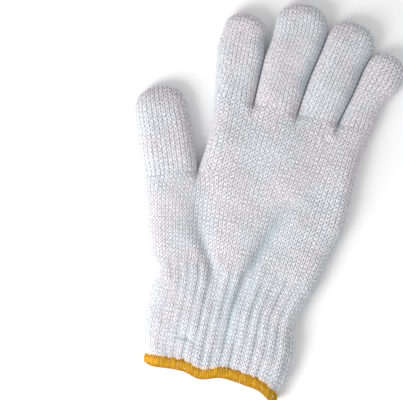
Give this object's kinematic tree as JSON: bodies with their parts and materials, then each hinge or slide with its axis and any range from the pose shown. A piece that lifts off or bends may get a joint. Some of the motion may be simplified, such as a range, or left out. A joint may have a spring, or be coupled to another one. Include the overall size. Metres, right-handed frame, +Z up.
{
  "type": "cotton work glove",
  "caption": "Flat-lying seamless knitted work glove with five separate fingers, a hollow palm, a ribbed elastic cuff and an overlocked thread edge round its mouth.",
  "frame": {"origin": "under the middle of the glove's outline, on the surface that it lies on", "axes": "+Y from the cuff to the fingertips, +Z up out of the upper layer, thumb at -X"},
  "size_m": [0.161, 0.2504, 0.0168],
  "materials": {
    "cotton_knit": "matte off-white string knit",
    "cotton_rib": "matte off-white rib knit",
    "edge_thread": "golden yellow overlock thread"
  },
  "bodies": {
    "root": {"palm": "cotton_knit", "thumb": "cotton_knit", "index_finger": "cotton_knit", "middle_finger": "cotton_knit", "ring_finger": "cotton_knit", "little_finger": "cotton_knit", "ribbed_cuff": "cotton_rib", "overlock_edge": "edge_thread"}
  },
  "joints": []
}
